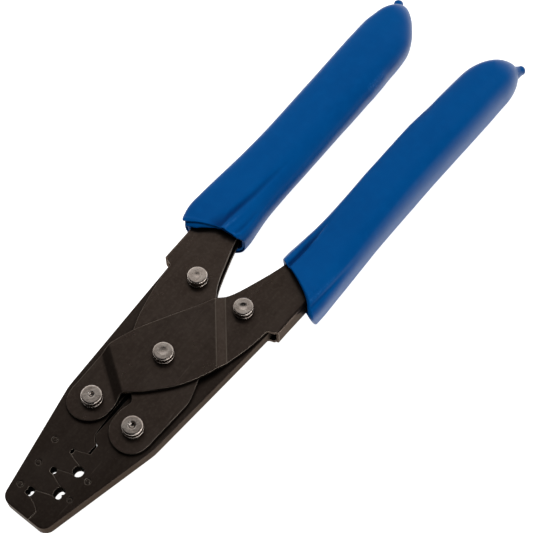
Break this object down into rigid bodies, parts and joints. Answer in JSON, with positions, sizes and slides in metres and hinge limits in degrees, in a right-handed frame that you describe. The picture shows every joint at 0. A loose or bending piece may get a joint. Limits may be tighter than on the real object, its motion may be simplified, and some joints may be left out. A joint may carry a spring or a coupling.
{
  "type": "parallel-action crimping pliers",
  "caption": "Parallel-action hand crimping pliers: folded steel levers crossing at a riveted pivot drive flat jaws with crimp nests for open-barrel wire terminals; blue vinyl grips.",
  "frame": {"origin": "on the main pivot's axis, at the outer face of the main rivet's back head, which is the plane the tool rests on", "axes": "+X from the jaws towards the grips, along the closed jaws' parting line; +Y towards lever B's grip; +Z along the main pivot's axis, towards the tool's front face"},
  "size_m": [0.2161, 0.0561, 0.0141],
  "materials": {
    "blackened_sheet": "blackened, brownish-black oxide, satin",
    "blackened_jaw": "blackened, brownish-black oxide, satin",
    "rivet_steel": "satin, peened",
    "washer_steel": "satin",
    "sleeve_steel": "ground, oiled",
    "blue_vinyl": "semi-gloss vinyl"
  },
  "bodies": {
    "lever_a": {"lever_a_channel": "blackened_sheet", "lever_a_grip": "blue_vinyl", "main_pivot_rivet": "rivet_steel", "main_pivot_washers": "washer_steel", "main_pivot_sleeve": "sleeve_steel", "upper_jaw_rivet": "rivet_steel", "upper_jaw_washers": "washer_steel", "upper_jaw_sleeve": "sleeve_steel", "lever_a_guide_rivet": "rivet_steel", "lever_a_guide_washers": "washer_steel", "lever_a_guide_sleeve": "sleeve_steel"},
    "lever_b": {"lever_b_channel": "blackened_sheet", "lever_b_grip": "blue_vinyl", "lower_jaw_rivet": "rivet_steel", "lower_jaw_washers": "washer_steel", "lower_jaw_sleeve": "sleeve_steel", "lever_b_guide_rivet": "rivet_steel", "lever_b_guide_washers": "washer_steel", "lever_b_guide_sleeve": "sleeve_steel"},
    "upper_jaw": {"upper_jaw": "blackened_jaw"},
    "lower_jaw": {"lower_jaw": "blackened_jaw"}
  },
  "joints": [
    {"name": "lever_hinge", "type": "hinge", "parent": "lever_a", "child": "lever_b", "pos_m": [0, 0, 0.00705], "axis": [0, 0, 1], "range_deg": [0, 30]},
    {"name": "upper_jaw_hinge", "type": "hinge", "parent": "lever_a", "child": "upper_jaw", "pos_m": [-0.02231, 0.00758, 0.00705], "axis": [0, 0, 1], "range_deg": [0, 15]},
    {"name": "lower_jaw_hinge", "type": "hinge", "parent": "lever_b", "child": "lower_jaw", "pos_m": [-0.02231, -0.00758, 0.00705], "axis": [0, 0, 1], "range_deg": [-15, 0]}
  ],
  "couplings": [
    {"joint": "upper_jaw_hinge", "follows": "lever_hinge", "ratio": 0.5},
    {"joint": "lower_jaw_hinge", "follows": "lever_hinge", "ratio": -0.5}
  ]
}
